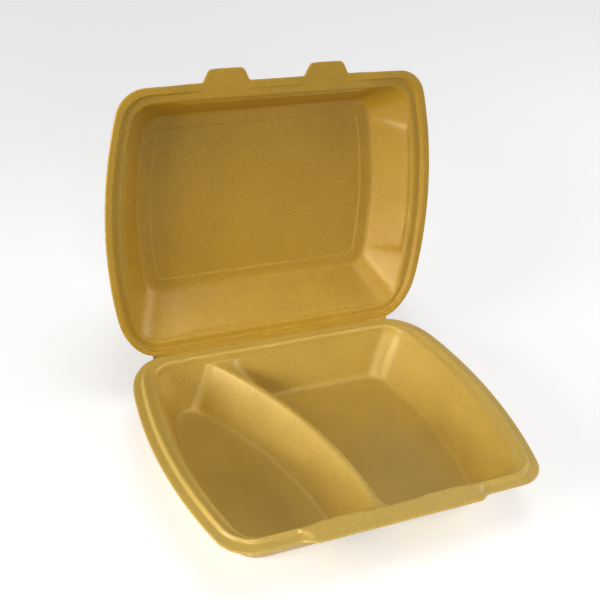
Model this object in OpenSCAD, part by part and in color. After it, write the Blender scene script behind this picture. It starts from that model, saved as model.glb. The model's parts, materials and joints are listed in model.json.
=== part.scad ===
// Hinged two-compartment meal box, moulded from one sheet of foam.
// Origin: middle of the open box's footprint, on the underside of the base.
// +X runs along the hinge, +Y points to the hinge, +Z is up.

/* [Outline] */
// Width across the bowed sides, along the hinge
tray_w = 240; // [210:1:300]
// Depth from the hinge to the front edge of the base
tray_d = 183; // [160:1:220]
// Bow of each side, from the line of its ends to its crown
side_bow = 14; // [6:0.5:20]
// Radius of the rim's corners at the hinge
back_corner_r = 44; // [32:1:50]
// Radius of the rim's corners at the front
front_corner_r = 21; // [18:1:30]
// How much of the round of those hinge corners the hinge line cuts off
corner_cut = 6; // [2:0.5:8]

/* [Sheet] */
// Thickness of the foam sheet
sheet = 2.4; // [1.6:0.1:3]
// Inner radius between walls and floors
floor_fillet = 4; // [3:0.5:9]

/* [Base] */
// Height from the underside to the rim plane
base_h = 40; // [32:1:55]
// Rim width on the bowed sides
side_rim_w = 15; // [14:0.5:20]
// Rim width on the hinge side
back_rim_w = 7; // [5.5:0.5:11]
// Rim width at the front
front_rim_w = 11; // [10:0.5:16]
// How far the side walls lean in from rim to floor
side_draft = 15; // [6:0.5:20]
// How far the hinge wall leans in from rim to floor
back_draft = 10; // [6:0.5:16]
// How far the front wall leans in from rim to floor
front_draft = 18; // [8:0.5:24]
// Radius of the compartments' outer corners
well_corner_r = 15; // [12:0.5:20]

/* [Sealing ridge] */
// Height of the ridge over the rim plane
ridge_h = 2; // [1:0.1:2.6]
// Foot width of the ridge on the bowed sides
ridge_w = 6.4; // [5:0.1:8]
// Foot width of the ridge at the front
front_ridge_w = 3.4; // [3:0.1:4.2]
// Flat flange outside the ridge
flange_w = 5.6; // [5:0.1:7]
// Distance from the hinge to where the ridge starts
ridge_start = 11; // [6:0.5:20]
// Length over which the ridge rises
ridge_ramp = 9; // [4:0.5:16]

/* [Front plate] */
// Length of the plate's outer edge
plate_len = 110; // [96:1:124]
// Length of the slanted step at each end of the plate
plate_slant = 8; // [4:0.5:12]
// How far the plate stands out past the flange
plate_out = 5; // [1:0.1:6]
// How far the ridge widens inwards under each tab
pad_in = 1.5; // [0:0.1:2]

/* [Divider] */
// Plan radius of the divider's middle line
divider_r = 262; // [220:1:400]
// Where the divider's middle line crowns, across the tray
divider_x = -3.6; // [-12:0.1:8]
// Distance of the crown of the divider from the hinge
divider_crown = 156; // [130:1:175]
// Width of the flat land on the divider
land_w = 4; // [3:0.1:7]
// Depth of the land below the rim plane
land_drop = 6; // [4:0.5:14]
// How far each divider wall leans out from land to floor
divider_draft = 15; // [8:0.5:18]
// Corner radius where the divider meets the outer walls
divider_corner_r = 9.5; // [6:0.5:10]

/* [Lid] */
// Inner depth of the lid
lid_depth = 30; // [20:1:45]
// Opening of the lid as it stands, from closed
lid_open = 103; // [0:1:180]
// Clear gap between the rims of the closed box
rim_gap = 0.4; // [0.3:0.1:1]
// How far the lid's edge stays inside the base's edge
lid_inset = 0.5; // [0.3:0.1:1.5]
// Depth of the ledge that takes the ridge
groove_d = 3; // [2.8:0.1:4]
// Rim width of the lid on the bowed sides, up to where its wall starts
lid_side_rim_w = 11.7; // [11:0.1:16]
// Rim width of the lid on the hinge side
lid_back_rim_w = 9; // [8:0.5:13]
// Rim width of the lid at the free edge
lid_front_rim_w = 10.5; // [10:0.5:15]
// How far the lid's side walls lean in
lid_side_draft = 19.5; // [10:0.5:24]
// How far the lid's hinge wall leans in
lid_back_draft = 25; // [10:0.5:28]
// How far the lid's front wall leans in
lid_front_draft = 14; // [8:0.5:20]
// Radius of the lid's corners at floor level
lid_floor_corner_r = 13; // [10:0.5:18]

/* [Lid panels] */
// Margin between the lid's floor edge and its creased panel
panel_margin = 7; // [5:0.5:16]
// Corner radius of the creased panel
panel_corner_r = 6; // [4:0.5:12]
// Step at the crease round the panel
panel_step = 0.5; // [0.2:0.1:1]
// Rise of the stiffening pads on the lid's walls
pad_rise = 1.8; // [0.4:0.1:2.2]
// Depth below the lid's rim at which the pads start
pad_drop = 5; // [4.5:0.5:9]
// Length of the pads along the hinge and the free edge
pad_len = 128; // [90:1:150]
// Share of each bowed wall left free of its pad towards the free edge
pad_front = 0.1; // [0.06:0.01:0.3]
// Share of each bowed wall left free of its pad towards the hinge
pad_hinge = 0.16; // [0.06:0.01:0.3]

/* [Tabs] */
// Spacing of the two closing tabs
tab_pitch = 71; // [60:1:76]
// Width of a tab at its root
tab_root_w = 32; // [24:1:34]
// Width of a tab at its tip
tab_tip_w = 24; // [16:1:28]
// Length of a tab past the lid's edge
tab_len = 8.5; // [4:0.5:14]

/* [Hidden] */
foam_gold = "#B8923E";

// Segments of a corner, a bowed side, a divider corner and the divider
CORNER_SEGS = 6;
SIDE_SEGS = 12;
FILLET_SEGS = 5;
DIVIDER_SEGS = 10;

// What counts as on a line
TINY = 0.001;
// The small round on sheet edges
edge_r = 0.7;
// The short stretch over which a step in the rim rises
step_run = 2;
// The least straight stretch between two corners
end_flat = 1.5;
// Back edges stay this far from the hinge axis, and their outer corners are pressed away
hinge_clear = 0.3;
crease_cut = 1.6;
// The pressed lip of the crease keeps this much of the edge's drop
lip_drop = 0.2;

hinge_y = tray_d / 2;
front_y = -tray_d / 2;
hinge_z = base_h + rim_gap / 2;
floor_z = sheet;
well_depth = base_h - sheet;
land_z = base_h - land_drop;
side_r = (hinge_y * hinge_y + side_bow * side_bow) / (2 * side_bow);
side_c = tray_w / 2 - side_r;
divider_c = [divider_x - divider_r, hinge_y - divider_crown];
lid_d = tray_d - 2 * lid_inset;
plate_half = plate_len / 2;
tab_x = tab_pitch / 2;
tab_root = tab_root_w / 2;
tab_tip = tab_tip_w / 2;

// Plan geometry
function ang(v) = atan2(v[1], v[0]);
function turn(a) = a - 360 * round(a / 360);
function mix(a, b, t) = a + (b - a) * t;
function ramp(a, b, x) = min(1, max(0, (x - a) / (b - a)));
function even(n) = [for (i = [0 : n]) i / n];
function inner(n) = [for (i = [1 : n - 1]) i / n];
function back_to_front(list) = [for (i = [len(list) - 1 : -1 : 0]) list[i]];
function flat(lists) = [for (l = lists) for (p = l) p];
function on_arc(c, r, p, q, shares) =
    let (a = ang(p - c), d = turn(ang(q - c) - a))
    [for (s = shares) c + r * [cos(a + s * d), sin(a + s * d)]];

// A round wall is [centre, radius, 1 if the well lies inside the circle or -1, side of the centre].
function side_wall(hand, inset) = [[hand * side_c, 0], side_r - inset, 1, hand];
function divider_wall(k, offset) = [divider_c, divider_r + k * offset, -k, 1];

// Centre of a fillet between the straight wall y = line and a round wall
// below is 1 where the well lies below the line, and -1 where it lies above it
function fillet_c(line, below, wall, r) =
    let (y = line - below * r, rho = wall[1] - wall[2] * r, dy = y - wall[0][1])
    [wall[0][0] + wall[3] * sqrt(rho * rho - dy * dy), y];
function touch(wall, c) = wall[0] + wall[1] * (c - wall[0]) / norm(c - wall[0]);

// Corner between a straight and a round wall, as [point on the line, centre, point on the round wall, radius]
function corner(line, below, wall, r) =
    let (c = fillet_c(line, below, wall, r))
    [[c[0], line], c, touch(wall, c), r];
function corner_pts(k, from_line, segs) =
    on_arc(k[1], k[3], from_line ? k[0] : k[2], from_line ? k[2] : k[0], inner(segs));

// Where a straight and a round wall would meet without a fillet, and how much of the line a fillet of radius 1 takes
function sharp_x(line, wall) =
    let (dy = line - wall[0][1])
    wall[0][0] + wall[3] * sqrt(wall[1] * wall[1] - dy * dy);
function reach(line, below, wall) = abs(corner(line, below, wall, 1)[0][0] - sharp_x(line, wall));
// Share of two radii that fits between two round walls along a line
function fit_share(line, below, wall, other, r, d) =
    let (room = abs(sharp_x(line, wall) - sharp_x(line, other)) - end_flat)
    max(0.1, min(1, room / (r * reach(line, below, wall) + d * reach(line, below, other))));

// Bowed stretch of a round wall between two corners
function wall_pts(wall, k0, k1, shares) = on_arc(wall[0], wall[1], k0[2], k1[2], shares);

// Points along a straight wall, from x0 to x1 by shares
function line_pts(x0, x1, y, shares) = [for (s = shares) [mix(x0, x1, s), y]];

// Height and moves along the front edge
function tab_near(x) = abs(abs(x) - tab_x);
function plate_at(x) = 1 - ramp(plate_half, plate_half + plate_slant, abs(x));
function pad_at(x) = 1 - ramp(tab_root, tab_root + step_run, tab_near(x));
function ridge_at(y) = ramp(ridge_start, ridge_start + ridge_ramp, hinge_y - y);

// Meshing
function strip(a, b) =
    [for (i = [0 : len(a) - 1])
        let (j = (i + 1) % len(a))
        each [[a[i], a[j], b[j]], [a[i], b[j], b[i]]]];
function open_strip(a, b) =
    [for (i = [0 : len(a) - 2])
        each [[a[i], a[i + 1], b[i + 1]], [a[i], b[i + 1], b[i]]]];
function fan(a, c) = [for (i = [0 : len(a) - 1]) [a[i], a[(i + 1) % len(a)], c]];
function count_up(from, n) = [for (i = [0 : n - 1]) from + i];
function flipped(faces) = [for (f = faces) [f[2], f[1], f[0]]];
function shifted(faces, k) = [for (f = faces) [for (i = f) i + k]];
function at_z(pts, z) = [for (p = pts) [p[0], p[1], z]];
function middle(pts) = [for (k = [0 : 2]) let (v = [for (p = pts) p[k]]) (min(v) + max(v)) / 2];

// Base: stations along the straight walls of the rim
front_right_x = [tab_x - tab_root - step_run, tab_x - tab_root, tab_x + tab_root, tab_x + tab_root + step_run,
    plate_half, plate_half + plate_slant];
split_x = (tab_x - tab_root - step_run) / 2;
front_left_x = [for (x = back_to_front(front_right_x)) -x];
BACK_SHARES = even(2);
FRONT_COUNT = len(front_right_x) + 2;
FRONT_SHARES = even(FRONT_COUNT - 1);

// Corners of the wells at the height z, with the walls moved outwards by skin
function lean(z) = (base_h - z) / well_depth;
function divider_lean(z) = (land_z - z) / (land_z - floor_z);
function well_back(z, skin, more) = hinge_y - back_rim_w - back_draft * lean(z) + skin - more;
function well_front(z, skin, more) = front_y + front_rim_w + front_draft * lean(z) - skin + more;
function well_side(z, skin, more) = side_rim_w + side_draft * lean(z) - skin + more;
function divider_off(z, skin, more) = land_w / 2 + divider_draft * divider_lean(z) - skin + more;

// The four corners of the right well (hand 1) or the left well (hand -1): outer front, outer back, inner back, inner front
function well_corners(hand, z, skin, more, grow) =
    let (outer = side_wall(hand, well_side(z, skin, more)), wall = divider_wall(hand, divider_off(z, skin, more)),
        b = well_back(z, skin, more), f = well_front(z, skin, more), r = well_corner_r + grow, d = divider_corner_r + grow,
        fit = fit_share(b, 1, outer, wall, r, d))
    [corner(f, -1, outer, r), corner(b, 1, outer, fit * r), corner(b, 1, wall, fit * d), corner(f, -1, wall, d)];

// Outer part of a well's outline, from the inner front corner round the outside to the inner back corner
function well_outer(hand, z, skin, more, grow) =
    let (k = well_corners(hand, z, skin, more, grow))
    concat(line_pts(k[3][0][0], k[0][0][0], k[3][0][1], FRONT_SHARES), corner_pts(k[0], true, CORNER_SEGS),
        wall_pts(side_wall(hand, well_side(z, skin, more)), k[0], k[1], even(SIDE_SEGS)),
        corner_pts(k[1], false, CORNER_SEGS), line_pts(k[1][0][0], k[2][0][0], k[1][0][1], BACK_SHARES));

// Divider part of a well's outline, from back to front
function well_inner(hand, z, skin, more, grow) =
    let (k = well_corners(hand, z, skin, more, grow))
    concat(corner_pts(k[2], true, FILLET_SEGS),
        wall_pts(divider_wall(hand, divider_off(z, skin, more)), k[2], k[3], even(DIVIDER_SEGS)),
        corner_pts(k[3], false, FILLET_SEGS));

// Corner radius of a rim ring at the hinge and what the hinge line cuts off it, both fading over a rim of the width w
function hinge_r(back, w) = mix(back_corner_r, well_corner_r + 2, min(1, back / w));
function hinge_cut(back, w) = corner_cut * max(0, 1 - back / w);

// One half of a rim ring, in the order of well_outer
// The three insets are those of the side, the hinge edge and the front edge
function rim_half(hand, side, back, front, r_back, r_front, back_x) =
    let (wall = side_wall(hand, side), k0 = corner(front_y + front, -1, wall, r_front), edge = hinge_y - back,
        k1 = corner(edge + hinge_cut(back, back_rim_w), 1, wall, r_back), xs = [for (x = front_right_x) hand * x])
    concat([[hand * split_x, front_y + front]], [for (x = xs) [x, front_y + front]], [k0[0]],
        corner_pts(k0, true, CORNER_SEGS), wall_pts(wall, k0, k1, even(SIDE_SEGS)),
        [for (p = corner_pts(k1, false, CORNER_SEGS)) [p[0], min(p[1], edge)]],
        line_pts(k1[0][0], back_x, edge, BACK_SHARES));

// Where the hinge edge is split between the two wells
function back_split(hand) = well_corners(hand, land_z, 0, 0, 0)[2][0][0];

// A rim ring as the right half and then the left half, with the shaped front edge
// lift is the part of the ridge's height that this ring takes, plate_y and pad_y are its moves at the plate and the pads
function rim_ring(side, back, front, z, lift, plate_y, pad_y, plate_z) =
    let (trim = max(0, side - flange_w), r_back = hinge_r(back, back_rim_w),
        r_front = max(front_corner_r - trim, well_corner_r))
    [for (hand = [1, -1])
        [for (p = rim_half(hand, side, back, front, r_back, r_front, back_split(hand)))
            let (on_front = p[1] < front_y + front + TINY ? 1 : 0, a = on_front * plate_at(p[0]), b = on_front * pad_at(p[0]),
                lip = p[1] > hinge_y - hinge_clear - TINY ? edge_r - lip_drop : 0)
            [p[0], p[1] + a * plate_y + b * pad_y, z + lip + ridge_h * max(lift * ridge_at(p[1]), a * plate_z)]]];

ridge_a = flange_w + 0.25 * ridge_w;
ridge_b = flange_w + 0.45 * ridge_w;
ridge_c = flange_w + ridge_w;
front_a = flange_w + 0.6;
front_c = front_a + front_ridge_w;
front_mid = [front_a + 0.36 * front_ridge_w, front_a + 0.64 * front_ridge_w];
// Hinge-side insets of the rim rings, as shares of the rim there
BACK_STEPS = [0.05, 0.12, 0.3, 0.42, 0.55, 0.7, 0.85];
function back_step(i) = hinge_clear + BACK_STEPS[i] * back_rim_w;

// Upper side of the base's rim, from the outer edge to the top of the land
base_top_rim = [
    rim_ring(0, hinge_clear, 0, base_h - edge_r, 0, -plate_out, 0, 1),
    rim_ring(edge_r, back_step(0), edge_r, base_h, 0, -plate_out, 0, 1),
    rim_ring(flange_w, back_step(2), front_a, base_h, 0, -plate_out - front_a + 3 * edge_r, 0, 1),
    rim_ring(ridge_a, back_step(3), front_mid[0], base_h, 1, -front_mid[0] / 2, 0, 1),
    rim_ring(ridge_b, back_step(4), front_mid[1], base_h, 1, 0, pad_in, 1),
    rim_ring(ridge_c, back_step(5), front_c, base_h, 0, 0, pad_in, 0),
    rim_ring(side_rim_w - edge_r, back_step(6), front_rim_w - edge_r, base_h, 0, 0, pad_in, 0),
    rim_ring(side_rim_w + edge_r, back_rim_w + edge_r, front_rim_w, base_h - 2 * edge_r, 0, 0, pad_in, 0)];

// Under side of the rim, a sheet's thickness below
under_z = base_h - sheet;
channel_z = land_z - sheet - land_w / 2;
base_low_rim = [
    rim_ring(edge_r / 2, hinge_clear + crease_cut, edge_r / 2, under_z + edge_r, 0, -plate_out, 0, 1),
    rim_ring(flange_w, hinge_clear + crease_cut + edge_r, front_a, under_z, 0, -plate_out - front_a + 3 * edge_r, 0, 1),
    rim_ring((ridge_a + ridge_b) / 2, hinge_clear + crease_cut + 2 * edge_r, front_mid[0] + edge_r, under_z, 1,
        -edge_r, 0, 1),
    rim_ring(ridge_c - edge_r, back_step(5), front_c - edge_r / 2, under_z, 0, 0, 0, 0)];

// Rings of a well below the land, down to the floor: the wall and then the fillet
FILLET_TURN = [20, 45, 68, 90];
function fillet_ring(a, r, z) = [z + r * (1 - sin(a)), r * (cos(FILLET_TURN[0]) - cos(a))];
function well_rings(hand, z, skin, r, grow) =
    let (wall_z = fillet_ring(FILLET_TURN[0], r, z)[0])
    [for (a = FILLET_TURN)
        let (f = fillet_ring(a, r, z))
        at_z(concat(well_outer(hand, wall_z, skin, f[1], grow), well_inner(hand, wall_z, skin, f[1], grow)), f[0])];

// A skin: rim rings, the land between the wells, and both wells down to their floors
function base_skin(rim, top_z, skin, floor_at, r, grow) =
    let (h = len(rim[0][0]), n = len(rim), m = 2 * h,
        last = [for (hand = [1, -1]) at_z(well_outer(hand, top_z, skin, 0, grow), top_z)],
        land = [for (hand = [1, -1]) at_z(well_inner(hand, top_z, skin, 0, grow), top_z)],
        d = len(land[0]),
        wells = [for (hand = [1, -1]) well_rings(hand, floor_at, skin, r, grow)],
        k = len(wells[0]), w = h + d,
        ring_at = function (i, side) count_up(i * m + side * h, h),
        land_at = function (side) count_up((n + 1) * m + side * d, d),
        well_from = (n + 1) * m + 2 * d,
        well_at = function (i, side) count_up(well_from + (side * k + i) * w, w),
        centre_at = function (side) well_from + 2 * k * w + side,
        // A ring runs round the right half, then back along the left half
        loop = function (i) concat(ring_at(i, 0), back_to_front(ring_at(i, 1))),
        mouth = function (side) concat(ring_at(n, side), land_at(side)),
        edge = function (side) concat([ring_at(n, side)[h - 1]], land_at(side), [ring_at(n, side)[0]]))
    [concat(flat([for (r = rim) concat(r[0], r[1])]), flat(last), flat(land), flat([for (s = wells) flat(s)]),
        [for (s = wells) middle(s[k - 1])]),
     concat(
        [for (i = [0 : n - 1]) each strip(loop(i), loop(i + 1))],
        open_strip(edge(1), edge(0)),
        [for (side = [0, 1])
            let (faces = concat(strip(mouth(side), well_at(0, side)),
                [for (i = [0 : k - 2]) each strip(well_at(i, side), well_at(i + 1, side))],
                fan(well_at(k - 1, side), centre_at(side))))
            each side == 0 ? faces : flipped(faces)])];

// Two skins closed along their first rings
function shell(top, low, m_loop) =
    let (n = len(top[0]))
    [concat(top[0], low[0]),
     concat(top[1], shifted(flipped(low[1]), n), strip([for (i = m_loop) i + n], m_loop))];

module base_tray()
{
    half = len(base_top_rim[0][0]);
    outer_loop = concat(count_up(0, half), back_to_front(count_up(half, half)));
    wall_skin = sheet * 1.06;
    top = base_skin(base_top_rim, land_z, 0, floor_z, floor_fillet, 0);
    low = base_skin(base_low_rim, channel_z, wall_skin, 0, floor_fillet + sheet, edge_r);
    body = shell(top, low, outer_loop);
    translate([0, -middle_y, 0]) color(foam_gold)
        polyhedron(points = body[0], faces = flipped(body[1]), convexity = 8);
}

// Lid: drawn closed, with the hinge axis as its x axis, -y towards the free edge and z outwards
lid_front = -lid_d;
tab_profile = [[-tab_root - step_run / 2, 0], [-tab_root, 0], [-mix(tab_tip, tab_root, 0.25), 0.75],
    [-tab_tip + 0.6, 0.96], [-tab_tip + 3, 1]];
tab_steps = concat([for (t = tab_profile) t[0]], [for (t = back_to_front(tab_profile)) -t[0]]);
tab_reach = concat([for (t = tab_profile) t[1]], [for (t = back_to_front(tab_profile)) t[1]]);
lid_zone = plate_half + plate_slant + 1.5;
pad_half = pad_len / 2;
lid_half_x = concat([0], [for (t = tab_steps) tab_x + t], [lid_zone, lid_zone + plate_slant]);
lid_front_x = concat([for (i = [len(lid_half_x) - 1 : -1 : 1]) -lid_half_x[i]], lid_half_x);
function tab_out(x) = lookup(abs(x) - tab_x, [for (i = [0 : len(tab_steps) - 1]) [tab_steps[i], tab_reach[i] * tab_len]]);
function tab_zone(x) = 1 - ramp(tab_root, tab_root + step_run / 2, tab_near(x));
function lid_step(x) = 1 - ramp(lid_zone, lid_zone + plate_slant, abs(x));

// Shares along a bowed wall from the free edge to the hinge, with a short step at each end of its pad
PAD_STEP = 0.012;
pad_end = 1 - pad_hinge;
right_shares = concat([0, pad_front / 2, pad_front], [for (s = even(8)) mix(pad_front + PAD_STEP, pad_end - PAD_STEP, s)],
    [pad_end, (pad_end + 1) / 2, 1]);
right_pad = [for (s = right_shares) s > pad_front + PAD_STEP / 2 && s < pad_end - PAD_STEP / 2 ? 1 : 0];
left_shares = [for (s = back_to_front(right_shares)) 1 - s];
left_pad = back_to_front(right_pad);
lid_back_x = [pad_half + step_run, pad_half, 0, -pad_half, -pad_half - step_run];

// Stations of the free edge for the walls, spread evenly between the ends of the pad
lid_wall_x = concat([-pad_half - step_run], [for (s = even(len(lid_front_x) - 3)) mix(-pad_half, pad_half, s)],
    [pad_half + step_run]);
function pad_of(x) = 1 - ramp(pad_half, pad_half + step_run, abs(x));
// Share of the stations' spread that a straight stretch up to x leaves room for
function spread(x) = min(1, (x - end_flat) / (pad_half + step_run));

// A lid ring: its insets on the side, hinge and free edges, its height, and what it takes of tabs, step and pads
function lid_ring(side, back, front, z, tab, step, pad, r_back, r_front, stations) =
    let (wall_r = [[side_c, -hinge_y], side_r - side, 1, 1], wall_l = [[-side_c, -hinge_y], side_r - side, 1, -1],
        f = lid_front + front, b = -back, line = b + hinge_cut(back, lid_back_rim_w),
        kr = [corner(f, -1, wall_r, r_front), corner(line, 1, wall_r, r_back)],
        kl = [corner(f, -1, wall_l, r_front), corner(line, 1, wall_l, r_back)],
        pull_f = pad < 0 ? 1 : spread(kr[0][0][0]), pull_b = spread(kr[1][0][0]), rise = max(0, pad),
        z_back = back > hinge_clear + TINY ? z : lip_drop,
        lip = [for (x = stations)
            [x * pull_f, f - tab * tab_out(x) + rise * pad_of(x),
             z + step * max(lid_step(x) * (ridge_h + rim_gap), tab_zone(x) * groove_d)]],
        right = wall_pts(wall_r, kr[0], kr[1], right_shares),
        left = wall_pts(wall_l, kl[1], kl[0], left_shares),
        cut = function (pts) [for (p = pts) p[1] > b - TINY ? [p[0], b, z_back] : [p[0], p[1], z]])
    concat(at_z([kl[0][0]], z), lip, at_z([kr[0][0]], z), at_z(corner_pts(kr[0], true, CORNER_SEGS), z),
        [for (i = [0 : len(right) - 1]) [right[i][0] - rise * right_pad[i], right[i][1], z]],
        cut(corner_pts(kr[1], false, CORNER_SEGS)),
        [[kr[1][0][0], b, z_back]],
        [for (x = lid_back_x) [x * pull_b, b - rise * pad_of(x), z_back]],
        [[kl[1][0][0], b, z_back]], cut(corner_pts(kl[1], true, CORNER_SEGS)),
        [for (i = [0 : len(left) - 1]) [left[i][0] + rise * left_pad[i], left[i][1], z]],
        at_z(corner_pts(kl[0], false, CORNER_SEGS), z));

// Rim rings and wall rings of the lid
function lid_rim(side, back, front, z, tab, step) =
    lid_ring(lid_inset + side, back, front, z, tab, step, -1, hinge_r(back, lid_back_rim_w),
        max(front_corner_r - 0.4 * side, lid_floor_corner_r), lid_front_x);
function lid_wall_r(z, depth, skin) = mix(well_corner_r + 2, lid_floor_corner_r, z / depth) + skin / 2;
function lid_wall(z, depth, skin, more, pad, r) =
    let (t = (z - groove_d) / (depth - groove_d))
    lid_ring(lid_side_rim_w + lid_side_draft * t - skin + more, lid_back_rim_w + lid_back_draft * t - skin + more,
        lid_front_rim_w + lid_front_draft * t - skin + more, z, 0, 0, pad * pad_rise, r, r, lid_wall_x);

LID_TURN = [30, 55, 90];
function lid_fillet(a, r) = [r * (1 - sin(a)), r * (cos(LID_TURN[0]) - cos(a))];
// Wall, fillet, floor and creased panel
function lid_well(depth, skin, r) =
    let (wall_z = depth - lid_fillet(LID_TURN[0], r)[0], edge = lid_fillet(90, r)[1],
        plain = function (z, pad) lid_wall(z, depth, skin, 0, pad, lid_wall_r(z, depth, skin)),
        panel = function (more, z) at_z(lid_wall(wall_z, depth, skin, edge + panel_margin + more, 0, panel_corner_r), z))
    concat(
        [plain(pad_drop + skin, 0), plain(pad_drop + pad_rise / 2 + skin, 1)],
        [for (a = LID_TURN)
            let (f = lid_fillet(a, r))
            at_z(lid_wall(wall_z, depth, skin, f[1], 0, lid_wall_r(wall_z, depth, skin)), depth - f[0])],
        [panel(0, depth), panel(panel_step, depth + panel_step)]);

groove_a = flange_w - 0.8;
ledge_z = groove_d + edge_r;
lid_inner_rings = concat([
    lid_rim(0, hinge_clear, 0, edge_r, 1, 1),
    lid_rim(edge_r, 2 * edge_r, edge_r, 0, 0.96, 1),
    lid_rim(groove_a, 3, groove_a, 0, 0, 1),
    lid_rim(groove_a + 1.4, 4.2, groove_a + 1.2, groove_d, 0, 0),
    lid_rim(lid_side_rim_w - lid_inset - edge_r, lid_back_rim_w - edge_r, lid_front_rim_w - edge_r, groove_d, 0, 0),
    lid_wall(ledge_z, lid_depth, 0, edge_r / 2, 0, lid_wall_r(ledge_z, lid_depth, 0))],
    lid_well(lid_depth, 0, floor_fillet));
lid_outer_rings = concat([
    lid_rim(edge_r / 2, hinge_clear + crease_cut, edge_r / 2, sheet - edge_r, 1, 1),
    lid_rim(groove_a - 1, hinge_clear + crease_cut + edge_r, groove_a - 1, sheet, 0, 1),
    lid_rim(groove_a + 0.6, 3.6, groove_a + 0.4, groove_d + sheet - edge_r, 0, 0),
    lid_rim(lid_side_rim_w - sheet, lid_back_rim_w - sheet, lid_front_rim_w - sheet, groove_d + sheet, 0, 0)],
    lid_well(lid_depth + sheet, sheet * 1.12, floor_fillet + sheet));

function stack(rings) =
    let (n = len(rings), m = len(rings[0]))
    [concat(flat(rings), [middle(rings[n - 1])]),
     concat([for (i = [0 : n - 2]) each strip(count_up(i * m, m), count_up((i + 1) * m, m))],
        fan(count_up((n - 1) * m, m), n * m))];

// Reach of the open box from front to back, and its middle
lid_reach = [for (ring = lid_outer_rings) for (p = ring) p[1] * cos(lid_open) + (p[2] + rim_gap / 2) * sin(lid_open)];
open_back = hinge_y + max(lid_reach);
open_front = min(front_y - plate_out, hinge_y + min(lid_reach));
middle_y = (open_front + open_back) / 2;

module lid()
{
    inner = stack(lid_inner_rings);
    outer = stack(lid_outer_rings);
    body = shell(inner, outer, count_up(0, len(lid_inner_rings[0])));
    translate([0, hinge_y - middle_y, hinge_z]) rotate([-lid_open, 0, 0]) translate([0, 0, rim_gap / 2]) color(foam_gold)
        polyhedron(points = body[0], faces = body[1], convexity = 8);
}

base_tray();
lid();
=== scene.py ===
import json
import math

import bpy
from mathutils import Matrix, Vector


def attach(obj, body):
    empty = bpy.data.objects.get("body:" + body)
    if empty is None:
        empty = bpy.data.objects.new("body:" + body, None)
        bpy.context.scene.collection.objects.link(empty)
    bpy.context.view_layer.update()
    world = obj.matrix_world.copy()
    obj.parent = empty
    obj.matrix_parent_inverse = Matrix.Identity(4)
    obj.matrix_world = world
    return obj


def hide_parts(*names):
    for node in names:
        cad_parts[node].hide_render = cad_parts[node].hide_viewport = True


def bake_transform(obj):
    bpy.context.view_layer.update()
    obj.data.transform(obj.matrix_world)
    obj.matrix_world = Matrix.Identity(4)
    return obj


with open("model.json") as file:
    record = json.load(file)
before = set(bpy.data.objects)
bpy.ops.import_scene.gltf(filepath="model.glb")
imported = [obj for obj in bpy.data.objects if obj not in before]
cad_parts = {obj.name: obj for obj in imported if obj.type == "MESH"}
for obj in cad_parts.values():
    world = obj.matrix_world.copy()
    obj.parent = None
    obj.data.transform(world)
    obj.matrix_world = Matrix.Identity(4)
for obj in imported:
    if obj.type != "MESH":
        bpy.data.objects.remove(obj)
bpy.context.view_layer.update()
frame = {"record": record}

MM = 0.001

# Sizes of the box in millimetres
TRAY_W = 240.0
TRAY_D = 183.0
SIDE_BOW = 14.0
BACK_CORNER_R = 44.0
CORNER_CUT = 6.0
FRONT_CORNER_R = 21.0
SHEET = 2.4
FLOOR_FILLET = 4.0
BASE_H = 40.0
SIDE_RIM_W = 15.0
BACK_RIM_W = 7.0
FRONT_RIM_W = 11.0
SIDE_DRAFT = 15.0
BACK_DRAFT = 10.0
FRONT_DRAFT = 18.0
WELL_CORNER_R = 15.0
MOUTH_CORNER_R = 17.0
RIDGE_H = 2.0
RIDGE_W = 6.4
FRONT_RIDGE_W = 3.4
FRONT_RIDGE_GAP = 0.6
FLANGE_W = 5.6
RIDGE_START = 11.0
RIDGE_RAMP = 9.0
PLATE_LEN = 110.0
PLATE_SLANT = 8.0
PLATE_OUT = 5.0
PAD_IN = 1.5
DIVIDER_R = 262.0
DIVIDER_X = -3.6
DIVIDER_CROWN = 156.0
LAND_W = 4.0
LAND_DROP = 6.0
DIVIDER_DRAFT = 15.0
DIVIDER_CORNER_R = 9.5
LID_DEPTH = 30.0
LID_OPEN = 103.0
RIM_GAP = 0.4
LID_INSET = 0.5
GROOVE_D = 3.0
GROOVE_LAP = 0.8
GROOVE_RUN = 1.4
GROOVE_FRONT_RUN = 1.2
GROOVE_BACK_A = 3.0
GROOVE_BACK_B = 4.2
GROOVE_BACK_OUT = 3.6
GROOVE_OUT_SHIFT = 1.0
GROOVE_OUT_RUN = 0.6
GROOVE_OUT_FRONT_RUN = 0.4
LID_SIDE_RIM_W = 11.7
LID_BACK_RIM_W = 9.0
LID_FRONT_RIM_W = 10.5
LID_SIDE_DRAFT = 19.5
LID_BACK_DRAFT = 25.0
LID_FRONT_DRAFT = 14.0
LID_FLOOR_CORNER_R = 13.0
PANEL_MARGIN = 7.0
PANEL_CORNER_R = 6.0
PANEL_STEP = 0.5
PAD_RISE = 1.8
PAD_DROP = 5.0
PAD_LEN = 128.0
PAD_FRONT_V = 141.2
PAD_HINGE_V = 49.0
PAD_SPLAY = 5.0
TAB_PITCH = 71.0
TAB_ROOT_W = 32.0
TAB_TIP_W = 24.0
TAB_LEN = 8.5
TAB_ZONE_MARGIN = 1.5
EDGE_R = 0.7
STEP_RUN = 2.0
END_FLAT = 1.5
HINGE_CLEAR = 0.3
CREASE_CUT = 1.6
LIP_DROP = 0.2
TINY = 0.001
# Level thickness of a slanted wall, in sheets
BASE_SLANT = 1.06
LID_SLANT = 1.12
# Shares of a ridge's width where its top begins and ends, on the sides and at the front
RIDGE_TOP = (0.25, 0.45)
FRONT_RIDGE_TOP = (0.36, 0.64)
# Least share of a corner's radius that is kept where a well gets narrow
LEAST_FIT = 0.1
# How far the last ring of a floor lies towards its middle
FLOOR_RING_SHARE = 0.12
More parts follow.
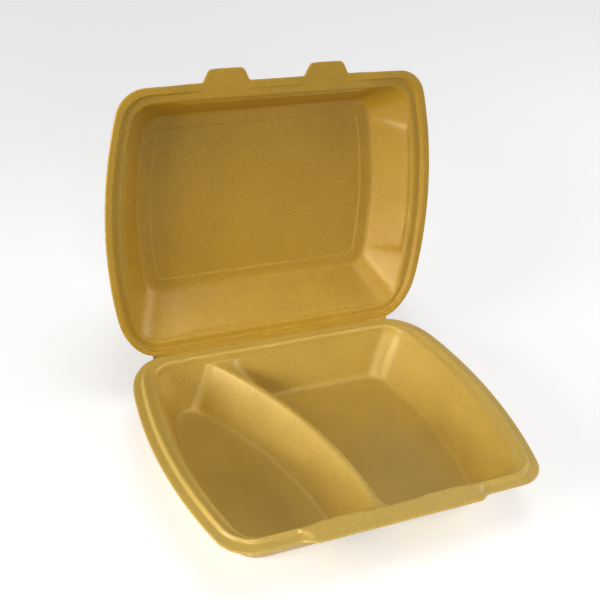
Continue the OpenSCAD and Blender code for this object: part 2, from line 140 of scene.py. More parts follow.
# How fast the lid's front corners tighten towards the ledge
LID_CORNER_FADE = 0.4
# Share of a tab's length that its flat side has
TAB_FLAT_SHARE = 0.96

# Segments of a corner, a bowed side, a divider corner and the divider
CORNER_SEGS = 6
SIDE_SEGS = 12
FILLET_SEGS = 5
DIVIDER_SEGS = 12
SMOOTH_LEVELS = 2
# Distance of the support rings that keep an edge tight when the mesh is smoothed
HOLD = 1.2
# Where support rings lie between two rings of a rim
TIGHT = (0.28, 0.72)

HINGE_Y = TRAY_D / 2
FRONT_Y = -TRAY_D / 2
SIDE_R = (HINGE_Y ** 2 + SIDE_BOW ** 2) / (2 * SIDE_BOW)
SIDE_C = TRAY_W / 2 - SIDE_R
LAND_Z = BASE_H - LAND_DROP
LID_D = TRAY_D - 2 * LID_INSET
TAB_X = TAB_PITCH / 2
TAB_ROOT = TAB_ROOT_W / 2
TAB_TIP = TAB_TIP_W / 2
PLATE_HALF = PLATE_LEN / 2
PAD_HALF = PAD_LEN / 2

# The hinge axis in the frame
joint = frame["record"]["behaviour"]["joints"][0]
AXIS_Y = joint["pos_m"][1] / MM
AXIS_Z = joint["pos_m"][2] / MM
SHIFT_Y = AXIS_Y - HINGE_Y


# Plan geometry
def mix(a, b, t):
    return a + (b - a) * t


def ramp(a, b, x):
    return min(1.0, max(0.0, (x - a) / (b - a)))


def eased(t):
    return t * t * (3 - 2 * t)


def even(n):
    return [i / n for i in range(n + 1)]


def inner(n):
    return [i / n for i in range(1, n)]


def on_arc(c, r, p, q, shares):
    a = math.atan2(p[1] - c[1], p[0] - c[0])
    d = math.atan2(q[1] - c[1], q[0] - c[0]) - a
    d -= 2 * math.pi * round(d / (2 * math.pi))
    return [(c[0] + r * math.cos(a + s * d), c[1] + r * math.sin(a + s * d)) for s in shares]


# A round wall is its centre, its radius, 1 if the well lies inside the circle or -1,
# and the side of the centre on which it lies
def side_wall(hand, inset, y=0.0):
    return (hand * SIDE_C, y), SIDE_R - inset, 1, hand


def divider_wall(hand, offset):
    return (DIVIDER_X - DIVIDER_R, HINGE_Y - DIVIDER_CROWN), DIVIDER_R + hand * offset, -hand, 1


def corner(line, below, wall, r):
    c, big, inside, hand = wall
    y = line - below * r
    rho = big - inside * r
    x = c[0] + hand * math.sqrt(rho ** 2 - (y - c[1]) ** 2)
    n = math.hypot(x - c[0], y - c[1])
    touch = (c[0] + big * (x - c[0]) / n, c[1] + big * (y - c[1]) / n)
    return (x, line), (x, y), touch, r


def corner_pts(k, from_line, segs):
    start, end = (k[0], k[2]) if from_line else (k[2], k[0])
    return on_arc(k[1], k[3], start, end, inner(segs))


def sharp_x(line, wall):
    c, big, _, hand = wall
    return c[0] + hand * math.sqrt(big ** 2 - (line - c[1]) ** 2)


def reach(line, below, wall):
    return abs(corner(line, below, wall, 1.0)[0][0] - sharp_x(line, wall))


def fit_share(line, below, wall, other, r, d):
    room = abs(sharp_x(line, wall) - sharp_x(line, other)) - END_FLAT
    return max(LEAST_FIT, min(1.0, room / (r * reach(line, below, wall) + d * reach(line, below, other))))


def wall_pts(wall, k0, k1, shares):
    return on_arc(wall[0], wall[1], k0[2], k1[2], shares)


def line_pts(x0, x1, y, shares):
    return [(mix(x0, x1, s), y) for s in shares]


def at_z(pts, z):
    return [(p[0], p[1], z) for p in pts]


# Base: stations on the right half of the front edge
front_x = [
    TAB_X - TAB_ROOT - STEP_RUN,
    TAB_X - TAB_ROOT,
    TAB_X + TAB_ROOT,
    TAB_X + TAB_ROOT + STEP_RUN,
    PLATE_HALF,
    PLATE_HALF + PLATE_SLANT / 3,
    PLATE_HALF + PLATE_SLANT * 2 / 3,
    PLATE_HALF + PLATE_SLANT,
    PLATE_HALF + PLATE_SLANT + HOLD,
]


# Corners of a well: outer front, outer back, inner back, inner front
def well_corners(hand, z, skin, more, grow):
    t = (BASE_H - z) / (BASE_H - SHEET)
    off = LAND_W / 2 + DIVIDER_DRAFT * (LAND_Z - z) / (LAND_Z - SHEET) - skin + more
    outer = side_wall(hand, SIDE_RIM_W + SIDE_DRAFT * t - skin + more)
    wall = divider_wall(hand, off)
    b = HINGE_Y - BACK_RIM_W - BACK_DRAFT * t + skin - more
    f = FRONT_Y + FRONT_RIM_W + FRONT_DRAFT * t - skin + more
    r = WELL_CORNER_R + grow
    d = DIVIDER_CORNER_R + grow
    fit = fit_share(b, 1, outer, wall, r, d)
    corners = [
        corner(f, -1, outer, r),
        corner(b, 1, outer, fit * r),
        corner(b, 1, wall, fit * d),
        corner(f, -1, wall, d),
    ]
    return corners, outer, wall


def well_outer(hand, z, skin, more, grow):
    k, outer, _ = well_corners(hand, z, skin, more, grow)
    pts = line_pts(k[3][0][0], k[0][0][0], k[3][0][1], even(len(front_x) + 1))
    pts += corner_pts(k[0], True, CORNER_SEGS)
    pts += wall_pts(outer, k[0], k[1], even(SIDE_SEGS))
    pts += corner_pts(k[1], False, CORNER_SEGS)
    return pts + line_pts(k[1][0][0], k[2][0][0], k[1][0][1], even(2))


def well_inner(hand, z, skin, more, grow):
    k, _, wall = well_corners(hand, z, skin, more, grow)
    pts = corner_pts(k[2], True, FILLET_SEGS)
    pts += wall_pts(wall, k[2], k[3], even(DIVIDER_SEGS))
    return pts + corner_pts(k[3], False, FILLET_SEGS)


# Corner radius of a rim ring at the hinge and what the hinge line cuts off it.
# Both fade over the rim's width
def hinge_r(back, width):
    return mix(BACK_CORNER_R, MOUTH_CORNER_R, min(1.0, back / width))


def hinge_cut(back, width):
    return CORNER_CUT * max(0.0, 1 - back / width)


# One half of a rim ring, with the ridge, the plate and the pads of the front edge
def rim_half(hand, side, back, front, z, lift, plate_y, pad_y, plate_z):
    wall = side_wall(hand, side)
    k0 = corner(FRONT_Y + front, -1, wall, max(FRONT_CORNER_R - max(0.0, side - FLANGE_W), WELL_CORNER_R))
    edge = HINGE_Y - back
    k1 = corner(edge + hinge_cut(back, BACK_RIM_W), 1, wall, hinge_r(back, BACK_RIM_W))
    split = well_corners(hand, LAND_Z, 0, 0, 0)[0][2][0][0]
    pts = [(hand * front_x[0] / 2, FRONT_Y + front)]
    pts += [(hand * x, FRONT_Y + front) for x in front_x] + [k0[0]]
    pts += corner_pts(k0, True, CORNER_SEGS)
    pts += wall_pts(wall, k0, k1, even(SIDE_SEGS))
    pts += [(x, min(y, edge)) for x, y in corner_pts(k1, False, CORNER_SEGS)]
    pts += line_pts(k1[0][0], split, edge, even(2))
    out = []
    for x, y in pts:
        on_front = 1.0 if y < FRONT_Y + front + TINY else 0.0
        a = on_front * (1 - eased(ramp(PLATE_HALF, PLATE_HALF + PLATE_SLANT, abs(x))))
        b = on_front * (1 - ramp(TAB_ROOT, TAB_ROOT + STEP_RUN, abs(abs(x) - TAB_X)))
        lip = EDGE_R - LIP_DROP if y > HINGE_Y - HINGE_CLEAR - TINY else 0.0
        rise = max(lift * ramp(RIDGE_START, RIDGE_START + RIDGE_RAMP, HINGE_Y - y), a * plate_z)
        out.append((x, y + a * plate_y + b * pad_y, z + lip + RIDGE_H * rise))
    return out


def rim_ring(*spec):
    return [rim_half(1, *spec), rim_half(-1, *spec)]


# Hinge-side insets of the rim rings, as shares of the rim there
BACK_STEPS = (0.05, 0.12, 0.3, 0.42, 0.55, 0.7, 0.85)


def back_step(i):
    return HINGE_CLEAR + BACK_STEPS[i] * BACK_RIM_W


RIDGE_A, RIDGE_B = (FLANGE_W + share * RIDGE_W for share in RIDGE_TOP)
RIDGE_C = FLANGE_W + RIDGE_W
RIDGE_MID = (RIDGE_A + RIDGE_B) / 2
FRONT_A = FLANGE_W + FRONT_RIDGE_GAP
FRONT_C = FRONT_A + FRONT_RIDGE_W
FRONT_M = [FRONT_A + share * FRONT_RIDGE_W for share in FRONT_RIDGE_TOP]
base_top_rim = [
    rim_ring(0, HINGE_CLEAR, 0, BASE_H - EDGE_R, 0, -PLATE_OUT, 0, 1),
    rim_ring(EDGE_R, back_step(0), EDGE_R, BASE_H, 0, -PLATE_OUT, 0, 1),
    rim_ring(FLANGE_W, back_step(2), FRONT_A, BASE_H, 0, -PLATE_OUT - FRONT_A + 3 * EDGE_R, 0, 1),
    rim_ring(RIDGE_A, back_step(3), FRONT_M[0], BASE_H, 1, -FRONT_M[0] / 2, 0, 1),
    rim_ring(RIDGE_B, back_step(4), FRONT_M[1], BASE_H, 1, 0, PAD_IN, 1),
    rim_ring(RIDGE_C, back_step(5), FRONT_C, BASE_H, 0, 0, PAD_IN, 0),
    rim_ring(SIDE_RIM_W - EDGE_R, back_step(6), FRONT_RIM_W - EDGE_R, BASE_H, 0, 0, PAD_IN, 0),
    rim_ring(SIDE_RIM_W + EDGE_R, BACK_RIM_W + EDGE_R, FRONT_RIM_W, BASE_H - 2 * EDGE_R, 0, 0, PAD_IN, 0),
]
UNDER_Z = BASE_H - SHEET
CREASE_IN = HINGE_CLEAR + CREASE_CUT
base_low_rim = [
    rim_ring(EDGE_R / 2, CREASE_IN, EDGE_R / 2, UNDER_Z + EDGE_R, 0, -PLATE_OUT, 0, 1),
    rim_ring(FLANGE_W, CREASE_IN + EDGE_R, FRONT_A, UNDER_Z, 0, -PLATE_OUT - FRONT_A + 3 * EDGE_R, 0, 1),
    rim_ring(RIDGE_MID, CREASE_IN + 2 * EDGE_R, FRONT_M[0] + EDGE_R, UNDER_Z, 1, -EDGE_R, 0, 1),
    rim_ring(RIDGE_C - EDGE_R, back_step(5), FRONT_C - EDGE_R / 2, UNDER_Z, 0, 0, 0, 0),
]


def fillet_ring(a, first, r):
    a, first = math.radians(a), math.radians(first)
    return r * (1 - math.sin(a)), r * (math.cos(first) - math.cos(a))


# Turns of the fillet between wall and floor, in degrees
WELL_TURNS = (20, 45, 68, 90)
LID_TURNS = (30, 55, 90)


def middle(pts):
    lo = [min(p[k] for p in pts) for k in range(3)]
    hi = [max(p[k] for p in pts) for k in range(3)]
    return [(a + b) / 2 for a, b in zip(lo, hi)]


# Rings of a well below the land: a support ring, the wall and the fillet, and a ring on the floor
def well_rings(hand, top_z, z, skin, r, grow):
    wall_z = z + fillet_ring(WELL_TURNS[0], WELL_TURNS[0], r)[0]
    rings = []
    hold_z = top_z - HOLD
    pts = well_outer(hand, hold_z, skin, 0, grow) + well_inner(hand, hold_z, skin, 0, grow)
    rings.append(at_z(pts, hold_z))
    for a in WELL_TURNS:
        up, more = fillet_ring(a, WELL_TURNS[0], r)
        pts = well_outer(hand, wall_z, skin, more, grow) + well_inner(hand, wall_z, skin, more, grow)
        rings.append(at_z(pts, z + up))
    last = rings[-1]
    c = middle(last)
    rings.append([(mix(p[0], c[0], FLOOR_RING_SHARE), mix(p[1], c[1], FLOOR_RING_SHARE), z) for p in last])
    return rings


# A ring between two others, and a stack of rings with such rings near both ends of its first spans
def between(a, b, t):
    return [tuple(mix(u, v, t) for u, v in zip(p, q)) for p, q in zip(a, b)]


def tightened(rings, spans):
    out = []
    for i, (a, b) in enumerate(zip(rings, rings[1:])):
        out.append(a)
        if i < spans:
            out += [between(a, b, t) for t in TIGHT]
    return out + [rings[-1]]


# Meshing
class Skin:
    def __init__(self):
        self.pts = []
        self.faces = []

    def add(self, pts):
        start = len(self.pts)
        self.pts += list(pts)
        return list(range(start, len(self.pts)))

    def strip(self, a, b, flip=False, closed=True):
        n = len(a)
        for i in range(n if closed else n - 1):
            j = (i + 1) % n
            quad = (a[i], a[j], b[j], b[i])
            self.faces.append(quad[::-1] if flip else quad)

    def fan(self, a, c, flip=False):
        for i in range(len(a)):
            tri = (a[i], a[(i + 1) % len(a)], c)
            self.faces.append(tri[::-1] if flip else tri)


def base_skin(s, rim, top_z, skin, floor_at, r, grow, flip):
    mouth = [at_z(well_outer(hand, top_z, skin, 0, grow), top_z) for hand in (1, -1)]
    halves = [tightened([ring[i] for ring in rim] + [mouth[i]], len(rim)) for i in (0, 1)]
    rings = [[s.add(right), s.add(left)] for right, left in zip(*halves)]
    loops = [right + left[::-1] for right, left in rings]
    for a, b in zip(loops, loops[1:]):
        s.strip(a, b, flip)
    land = [s.add(at_z(well_inner(hand, top_z, skin, 0, grow), top_z)) for hand in (1, -1)]
    last = rings[-1]
    edge = [[last[i][-1]] + land[i] + [last[i][0]] for i in (0, 1)]
    s.strip(edge[1], edge[0], flip, closed=False)
    for i, hand in enumerate((1, -1)):
        turned = flip if hand == 1 else not flip
        loop = last[i] + land[i]
        pts = well_rings(hand, top_z, floor_at, skin, r, grow)
        for ring in pts:
            nxt = s.add(ring)
            s.strip(loop, nxt, turned)
            loop = nxt
        s.fan(loop, s.add([middle(pts[-1])])[0], turned)
    return loops[0]


# Lid: drawn closed, with the hinge axis as its x axis, -y towards the free edge and z outwards

# One half of a tab: place along the edge, and share of the tab's length
TAB_PROFILE = [
    (-TAB_ROOT - STEP_RUN / 2, 0.0),
    (-TAB_ROOT, 0.0),
    (-mix(TAB_TIP, TAB_ROOT, 0.7), 0.3),
    (-mix(TAB_TIP, TAB_ROOT, 0.25), 0.75),
    (-TAB_TIP + 0.6, 0.96),
    (-TAB_TIP + 3, 1.0),
]
TAB_STEPS = TAB_PROFILE + [(-x, t) for x, t in TAB_PROFILE[::-1]]
LID_ZONE = PLATE_HALF + PLATE_SLANT + TAB_ZONE_MARGIN
lid_half_x = [TAB_X + x for x, _ in TAB_STEPS] + [LID_ZONE, LID_ZONE + PLATE_SLANT]
lid_front_x = [-x for x in lid_half_x[::-1]] + [0.0] + lid_half_x
lid_wall_x = [-PAD_HALF - STEP_RUN]
lid_wall_x += [mix(-PAD_HALF, PAD_HALF, s) for s in even(len(lid_front_x) - 3)]
lid_wall_x += [PAD_HALF + STEP_RUN]
lid_back_x = [PAD_HALF + STEP_RUN, PAD_HALF, 0.0, -PAD_HALF, -PAD_HALF - STEP_RUN]
# Stations of a side wall: its pad, with the steps at the pad's ends, and two stations beyond each end
PAD_SEGS = 8
PAD_STEP = 0.012
END_SHARE = 0.03
side_pad = [0.0] * 3 + [1.0] * (PAD_SEGS + 1) + [0.0] * 3


def share_at(wall, k0, k1, y):
    c, r = wall[0], wall[1]
    start, end, at = (math.asin((v - c[1]) / r) for v in (k0[2][1], k1[2][1], y))
    return (at - start) / (end - start)


def side_shares(wall, k0, k1, z):
    splay = PAD_SPLAY * (z - PAD_DROP) / (LID_DEPTH - PAD_DROP)
    first = max(END_SHARE, share_at(wall, k0, k1, -PAD_FRONT_V - splay))
    last = min(1 - END_SHARE, share_at(wall, k0, k1, -PAD_HINGE_V + splay))
    shares = [0, first / 2, first]
    shares += [mix(first + PAD_STEP, last - PAD_STEP, s) for s in even(PAD_SEGS)]
    return shares + [last, (last + 1) / 2, 1]


def tab_out(x):
    at = abs(x) - TAB_X
    if at <= TAB_STEPS[0][0] or at >= TAB_STEPS[-1][0]:
        return 0.0
    for (x0, t0), (x1, t1) in zip(TAB_STEPS, TAB_STEPS[1:]):
        if at <= x1 + TINY:
            return TAB_LEN * mix(t0, t1, ramp(x0, x1, at))
    return 0.0


def tab_zone(x):
    return 1 - ramp(TAB_ROOT, TAB_ROOT + STEP_RUN / 2, abs(abs(x) - TAB_X))


def lid_step(x):
    return 1 - ramp(LID_ZONE, LID_ZONE + PLATE_SLANT, abs(x))


def pad_of(x):
    return 1 - ramp(PAD_HALF, PAD_HALF + STEP_RUN, abs(x))


def spread(x):
    return min(1.0, (x - END_FLAT) / (PAD_HALF + STEP_RUN))


def cut_at(pts, b, z, z_back):
    return [(x, b, z_back) if y > b - TINY else (x, y, z) for x, y in pts]


# One ring of the lid. A pad below zero marks a ring of the rim, whose front stations aren't drawn together
def lid_ring(side, back, front, z, tab, step, pad, r_back, r_front, stations):
    wall_r = side_wall(1, side, -HINGE_Y)
    wall_l = side_wall(-1, side, -HINGE_Y)
    f = -LID_D + front
    b = -back
    line = b + hinge_cut(back, LID_BACK_RIM_W)
    kr = corner(f, -1, wall_r, r_front), corner(line, 1, wall_r, r_back)
    kl = corner(f, -1, wall_l, r_front), corner(line, 1, wall_l, r_back)
    pull_f = 1.0 if pad < 0 else spread(kr[0][0][0])
    pull_b = spread(kr[1][0][0])
    rise = max(0.0, pad)
    z_back = z if back > HINGE_CLEAR + TINY else LIP_DROP
    pts = at_z([kl[0][0]], z)
    for x in stations:
        up = step * max(lid_step(x) * (RIDGE_H + RIM_GAP), tab_zone(x) * GROOVE_D)
        pts.append((x * pull_f, f - tab * tab_out(x) + rise * pad_of(x), z + up))
    pts += at_z([kr[0][0]], z) + at_z(corner_pts(kr[0], True, CORNER_SEGS), z)
    shares = side_shares(wall_r, kr[0], kr[1], z)
    right = wall_pts(wall_r, kr[0], kr[1], shares)
    pts += [(p[0] - rise * k, p[1], z) for p, k in zip(right, side_pad)]
    pts += cut_at(corner_pts(kr[1], False, CORNER_SEGS), b, z, z_back)
    pts += [(kr[1][0][0], b, z_back)]
    pts += [(x * pull_b, b - rise * pad_of(x), z_back) for x in lid_back_x]
    pts += [(kl[1][0][0], b, z_back)]
    pts += cut_at(corner_pts(kl[1], True, CORNER_SEGS), b, z, z_back)
    left = wall_pts(wall_l, kl[1], kl[0], [1 - s for s in shares[::-1]])
    pts += [(p[0] + rise * k, p[1], z) for p, k in zip(left, side_pad)]
    return pts + at_z(corner_pts(kl[0], False, CORNER_SEGS), z)


def lid_rim(side, back, front, z, tab, step):
    r_back = hinge_r(back, LID_BACK_RIM_W)
    r_front = max(FRONT_CORNER_R - LID_CORNER_FADE * side, LID_FLOOR_CORNER_R)
    return lid_ring(LID_INSET + side, back, front, z, tab, step, -1, r_back, r_front, lid_front_x)


def lid_wall_r(z, depth, skin):
    return mix(MOUTH_CORNER_R, LID_FLOOR_CORNER_R, z / depth) + skin / 2


def lid_wall(z, depth, skin, more, pad, r):
    t = (z - GROOVE_D) / (depth - GROOVE_D)
    side = LID_SIDE_RIM_W + LID_SIDE_DRAFT * t - skin + more
    back = LID_BACK_RIM_W + LID_BACK_DRAFT * t - skin + more
    front = LID_FRONT_RIM_W + LID_FRONT_DRAFT * t - skin + more
    return lid_ring(side, back, front, z, 0, 0, pad * PAD_RISE, r, r, lid_wall_x)


# Wall, fillet, floor and creased panel of the lid
def lid_well(depth, skin, r):
    wall_z = depth - fillet_ring(LID_TURNS[0], LID_TURNS[0], r)[0]
    wall_r = lid_wall_r(wall_z, depth, skin)
    edge = fillet_ring(LID_TURNS[-1], LID_TURNS[0], r)[1]
    rings = []
    for z, pad in ((PAD_DROP + skin, 0), (PAD_DROP + PAD_RISE / 2 + skin, 1)):
        rings.append(lid_wall(z, depth, skin, 0, pad, lid_wall_r(z, depth, skin)))
    for a in LID_TURNS:
        up, more = fillet_ring(a, LID_TURNS[0], r)
        rings.append(at_z(lid_wall(wall_z, depth, skin, more, 0, wall_r), depth - up))
    for more, step in ((-HOLD, 0), (0, 0), (PANEL_STEP, 1), (PANEL_STEP + HOLD, 1)):
        pts = lid_wall(wall_z, depth, skin, edge + PANEL_MARGIN + more, 0, PANEL_CORNER_R)
        rings.append(at_z(pts, depth + step * PANEL_STEP))
    return rings


GROOVE_A = FLANGE_W - GROOVE_LAP
LEDGE_Z = GROOVE_D + EDGE_R
LEDGE = (LID_SIDE_RIM_W - LID_INSET - EDGE_R, LID_BACK_RIM_W - EDGE_R, LID_FRONT_RIM_W - EDGE_R)
GROOVE_OUT = GROOVE_A - GROOVE_OUT_SHIFT
GROOVE_END = (GROOVE_A + GROOVE_OUT_RUN, GROOVE_A + GROOVE_OUT_FRONT_RUN)
LEDGE_OUT_Z = GROOVE_D + SHEET
LEDGE_OUT = (LID_SIDE_RIM_W - SHEET, LID_BACK_RIM_W - SHEET, LID_FRONT_RIM_W - SHEET)
lid_inner_rings = [
    lid_rim(0, HINGE_CLEAR, 0, EDGE_R, 1, 1),
    lid_rim(EDGE_R, 2 * EDGE_R, EDGE_R, 0, TAB_FLAT_SHARE, 1),
    lid_rim(GROOVE_A, GROOVE_BACK_A, GROOVE_A, 0, 0, 1),
    lid_rim(GROOVE_A + GROOVE_RUN, GROOVE_BACK_B, GROOVE_A + GROOVE_FRONT_RUN, GROOVE_D, 0, 0),
    lid_rim(*LEDGE, GROOVE_D, 0, 0),
    lid_wall(LEDGE_Z, LID_DEPTH, 0, EDGE_R / 2, 0, lid_wall_r(LEDGE_Z, LID_DEPTH, 0)),
] + lid_well(LID_DEPTH, 0, FLOOR_FILLET)
lid_outer_rings = [
    lid_rim(EDGE_R / 2, CREASE_IN, EDGE_R / 2, SHEET - EDGE_R, 1, 1),
    lid_rim(GROOVE_OUT, CREASE_IN + EDGE_R, GROOVE_OUT, SHEET, 0, 1),
    lid_rim(GROOVE_END[0], GROOVE_BACK_OUT, GROOVE_END[1], LEDGE_OUT_Z - EDGE_R, 0, 0),
    lid_rim(*LEDGE_OUT, LEDGE_OUT_Z, 0, 0),
] + lid_well(LID_DEPTH + SHEET, SHEET * LID_SLANT, FLOOR_FILLET + SHEET)


def lid_skin(s, rings, flip):
    loops = [s.add(ring) for ring in rings]
    for a, b in zip(loops, loops[1:]):
        s.strip(a, b, flip)
    s.fan(loops[-1], s.add([middle(rings[-1])])[0], flip)
    return loops[0]


# Objects
def make_object(name, pts, faces):
    mesh = bpy.data.meshes.new(name)
    mesh.from_pydata([[c * MM for c in p] for p in pts], [], faces)
    mesh.update()
    for poly in mesh.polygons:
        poly.use_smooth = True
    obj = bpy.data.objects.new(name, mesh)
    bpy.context.scene.collection.objects.link(obj)
    return obj


def smoothed(obj, levels):
    m = obj.modifiers.new("smooth", "SUBSURF")
    m.levels = levels
    m.render_levels = levels
    return obj


def in_frame(p):
    return p[0], p[1] + SHIFT_Y, p[2]


def opened(p):
    a = math.radians(LID_OPEN)
    y, z = p[1], p[2] + RIM_GAP / 2
    return p[0], AXIS_Y + y * math.cos(a) + z * math.sin(a), AXIS_Z - y * math.sin(a) + z * math.cos(a)


base = Skin()
wall_skin = SHEET * BASE_SLANT
channel_z = LAND_Z - SHEET - LAND_W / 2
top_edge = base_skin(base, base_top_rim, LAND_Z, 0, SHEET, FLOOR_FILLET, 0, False)
low_edge = base_skin(base, base_low_rim, channel_z, wall_skin, 0, FLOOR_FILLET + SHEET, EDGE_R, True)
base.strip(low_edge, top_edge)
base_shell = make_object("base_shell", [in_frame(p) for p in base.pts], base.faces)

lid = Skin()
LID_TIGHT_SPANS = 7
inner_edge = lid_skin(lid, tightened(lid_inner_rings, LID_TIGHT_SPANS), True)
outer_edge = lid_skin(lid, lid_outer_rings, False)
lid.strip(inner_edge, outer_edge)
lid_shell = make_object("lid_shell", [opened(p) for p in lid.pts], lid.faces)

# The pressed crease between base and lid, as a thin web curved about the hinge axis
WEB_HALF = 90.0
WEB_STEPS = 12
WEB_INNER = ((-1.5, -0.30), (-0.7, -0.55), (0.0, -0.50), (0.35, -0.15), (0.42, 0.55), (0.30, 1.45))
WEB_OUTER = ((-1.5, -0.95), (-0.5, -1.05), (0.45, -0.85), (0.85, -0.1), (0.90, 0.5), (1.00, 1.35))
web = Skin()
web_section = WEB_INNER + WEB_OUTER[::-1]
web_rings = []
for share in even(WEB_STEPS):
    x = mix(-WEB_HALF, WEB_HALF, share)
    web_rings.append(web.add([(x, AXIS_Y + y, AXIS_Z + z) for y, z in web_section]))
for one, other in zip(web_rings, web_rings[1:]):
    web.strip(one, other)
web.faces.append(tuple(web_rings[0]))
web.faces.append(tuple(web_rings[-1][::-1]))
crease_web = make_object("crease_web", web.pts, web.faces)


# Foam: fine pearly speckle over a gold sheet, with the soft grain of its cells
def foam_material(name, dark, light):
    mat = bpy.data.materials.new(name)
    mat.use_nodes = True
    tree = mat.node_tree
    nodes, links = tree.nodes, tree.links
    bsdf = nodes["Principled BSDF"]
    coords = nodes.new("ShaderNodeTexCoord")
    speck = nodes.new("ShaderNodeTexNoise")
    speck.inputs["Scale"].default_value = 1700.0
    speck.inputs["Detail"].default_value = 2.0
    speck.inputs["Roughness"].default_value = 0.6
    cloud = nodes.new("ShaderNodeTexNoise")
    cloud.inputs["Scale"].default_value = 38.0
    cloud.inputs["Detail"].default_value = 3.0
    tone = nodes.new("ShaderNodeValToRGB")
    tone.color_ramp.elements[0].position = 0.36
    tone.color_ramp.elements[0].color = dark
    tone.color_ramp.elements[1].position = 0.64
    tone.color_ramp.elements[1].color = light
    patch = nodes.new("ShaderNodeValToRGB")
    patch.color_ramp.elements[0].position = 0.35
    patch.color_ramp.elements[0].color = (0.93, 0.93, 0.93, 1)
    patch.color_ramp.elements[1].position = 0.65
    patch.color_ramp.elements[1].color = (1.0, 1.0, 1.0, 1)
    blend = nodes.new("ShaderNodeMix")
    blend.data_type = "RGBA"
    blend.blend_type = "MULTIPLY"
    blend.inputs["Factor"].default_value = 1.0
    cells = nodes.new("ShaderNodeTexVoronoi")
    cells.inputs["Scale"].default_value = 900.0
    bump = nodes.new("ShaderNodeBump")
    bump.inputs["Strength"].default_value = 0.05
    bump.inputs["Distance"].default_value = 0.0004
    for tex in (speck, cloud, cells):
        links.new(coords.outputs["Object"], tex.inputs["Vector"])
    links.new(speck.outputs["Fac"], tone.inputs["Fac"])
    links.new(cloud.outputs["Fac"], patch.inputs["Fac"])
    links.new(tone.outputs["Color"], blend.inputs["A"])
    links.new(patch.outputs["Color"], blend.inputs["B"])
    links.new(blend.outputs["Result"], bsdf.inputs["Base Color"])
    links.new(cells.outputs["Distance"], bump.inputs["Height"])
    links.new(bump.outputs["Normal"], bsdf.inputs["Normal"])
    bsdf.inputs["Metallic"].default_value = 0.06
    bsdf.inputs["Roughness"].default_value = 0.40
    bsdf.inputs["Specular IOR Level"].default_value = 0.45
    return mat


# The lid's foam is a darker, warmer copy of the base's foam: painted shade, since the lid is the same foam
# as the base
base_foam = foam_material("gold_foam", (0.48, 0.310, 0.045, 1), (0.65, 0.437, 0.094, 1))
shaded_lid_foam = foam_material("gold_foam_lid_shaded", (0.40, 0.222, 0.009, 1), (0.57, 0.340, 0.032, 1))
pieces = ((base_shell, "base", "base_tray", base_foam), (lid_shell, "cover", "lid", shaded_lid_foam))
for obj, body, node, foam in pieces:
    obj.data.materials.append(foam)
    smoothed(obj, SMOOTH_LEVELS)
    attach(obj, body)
    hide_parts(node)
# The crease web takes the lid's copy of the foam, with its painted shade
crease_web.data.materials.append(shaded_lid_foam)
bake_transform(crease_web)


# Floor and light
# 1 for rays from the camera, in a reflection or through glass, and 0 for rays that light the object
def seen_directly(tree):
    path = tree.nodes.new("ShaderNodeLightPath")
    value = path.outputs["Is Camera Ray"]
    for kind in ("Is Glossy Ray", "Is Transmission Ray"):
        more = tree.nodes.new("ShaderNodeMath")
        more.operation = "MAXIMUM"
        tree.links.new(value, more.inputs[0])
        tree.links.new(path.outputs[kind], more.inputs[1])
        value = more.outputs["Value"]
    return value


# The floor's own glow is seen but doesn't light the object.
# It is lower near the object, so that its shadow stays
GLOW_NEAR = 0.40
GLOW_FAR = 0.78
GLOW_NEAR_REACH = 0.5
GLOW_FAR_REACH = 2.2


def floor_material():
    mat = bpy.data.materials.new("pale_floor")
    mat.use_nodes = True
    tree = mat.node_tree
    nodes, links = tree.nodes, tree.links
    nodes.clear()
    out = nodes.new("ShaderNodeOutputMaterial")
    diffuse = nodes.new("ShaderNodeBsdfDiffuse")
    diffuse.inputs["Color"].default_value = (0.8, 0.8, 0.8, 1)
    glow = nodes.new("ShaderNodeEmission")
    glow.inputs["Color"].default_value = (1, 1, 1, 1)
    share = nodes.new("ShaderNodeMath")
    share.operation = "MULTIPLY"
    point = nodes.new("ShaderNodeNewGeometry")
    away = nodes.new("ShaderNodeVectorMath")
    away.operation = "LENGTH"
    fade = nodes.new("ShaderNodeMapRange")
    fade.inputs["From Min"].default_value = GLOW_NEAR_REACH
    fade.inputs["From Max"].default_value = GLOW_FAR_REACH
    fade.inputs["To Min"].default_value = GLOW_NEAR
    fade.inputs["To Max"].default_value = GLOW_FAR
    both = nodes.new("ShaderNodeAddShader")
    links.new(point.outputs["Position"], away.inputs[0])
    links.new(away.outputs["Value"], fade.inputs["Value"])
    links.new(fade.outputs["Result"], share.inputs[1])
    links.new(seen_directly(tree), share.inputs[0])
    links.new(share.outputs["Value"], glow.inputs["Strength"])
    links.new(diffuse.outputs["BSDF"], both.inputs[0])
    links.new(glow.outputs["Emission"], both.inputs[1])
    links.new(both.outputs["Shader"], out.inputs["Surface"])
    return mat


FLOOR_HALF = 4000.0
floor_corners = [(-FLOOR_HALF, -FLOOR_HALF, 0), (FLOOR_HALF, -FLOOR_HALF, 0)]
floor_corners += [(FLOOR_HALF, FLOOR_HALF, 0), (-FLOOR_HALF, FLOOR_HALF, 0)]
floor = make_object("floor", floor_corners, [(0, 1, 2, 3)])
floor.data.materials.append(floor_material())

# The sky is white where it is seen, and lights the object at a lower level
SKY_LIGHT = 0.19
SKY_SEEN = 1.0
world = bpy.data.worlds.new("studio")
bpy.context.scene.world = world
world.use_nodes = True
sky = world.node_tree
background = sky.nodes["Background"]
background.inputs["Color"].default_value = (1, 1, 1, 1)
level = sky.nodes.new("ShaderNodeMapRange")
level.inputs["To Min"].default_value = SKY_LIGHT
level.inputs["To Max"].default_value = SKY_SEEN
sky.links.new(seen_directly(sky), level.inputs["Value"])
sky.links.new(level.outputs["Result"], background.inputs["Strength"])


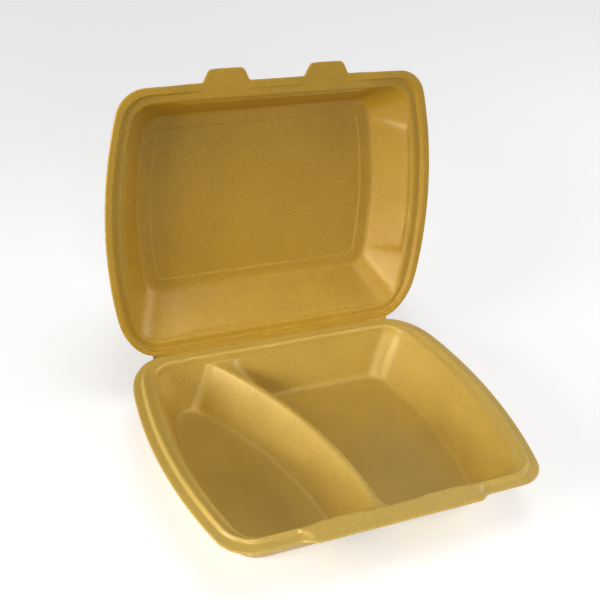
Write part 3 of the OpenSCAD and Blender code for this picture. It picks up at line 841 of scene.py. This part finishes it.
# An area lamp, with its place, aim and size in metres, its power in watts and its spread in degrees
def soft_lamp(name, place, aim, size, power, spread):
    data = bpy.data.lights.new(name, "AREA")
    data.energy = power
    data.size = size
    data.spread = math.radians(spread)
    obj = bpy.data.objects.new(name, data)
    bpy.context.scene.collection.objects.link(obj)
    obj.location = place
    obj.rotation_euler = (Vector(aim) - Vector(place)).to_track_quat("-Z", "Y").to_euler()
    return obj


soft_lamp("top", (0.0, -0.10, 1.25), (0.0, -0.09, -0.04), 0.5, 3.1, 180)
soft_lamp("key", (-0.95, -0.20, 0.34), (0.0, 0.02, 0.08), 0.5, 8.0, 180)
soft_lamp("fill", (0.92, -0.10, 0.45), (0.0, 0.02, 0.04), 0.5, 3.4, 180)
soft_lamp("front", (-0.20, -0.95, 0.28), (0.02, 0.0, -0.06), 0.3, 0.14, 20)

# Camera at the photograph's view
CAM_TURN = -29.63
CAM_HEIGHT = 33.78
CAM_ROLL = 8.48
CAM_ACROSS = -17.53
CAM_UP = -26.5
CAM_AWAY = 791.82
FOCAL_PX = 1123.36
IMAGE_W = 600.0
SENSOR = 36.0
turn, tilt, roll = (math.radians(a) for a in (CAM_TURN, CAM_HEIGHT, CAM_ROLL))
ahead = Vector((-math.sin(turn) * math.cos(tilt), math.cos(turn) * math.cos(tilt), -math.sin(tilt)))
level_right = Vector((math.cos(turn), math.sin(turn), 0))
level_up = level_right.cross(ahead)
right = level_right * math.cos(roll) + level_up * math.sin(roll)
up = level_up * math.cos(roll) - level_right * math.sin(roll)
pivot = Vector((0, AXIS_Y, BASE_H))
place = (pivot - right * CAM_ACROSS - up * CAM_UP - ahead * CAM_AWAY) * MM
cam_data = bpy.data.cameras.new("camera")
cam_data.sensor_width = SENSOR
cam_data.lens = FOCAL_PX / IMAGE_W * SENSOR
camera = bpy.data.objects.new("camera", cam_data)
bpy.context.scene.collection.objects.link(camera)
turned = Matrix((right, up, -ahead)).transposed().to_4x4()
camera.matrix_world = Matrix.Translation(place) @ turned
bpy.context.scene.camera = camera
bpy.context.scene.view_settings.view_transform = "Standard"
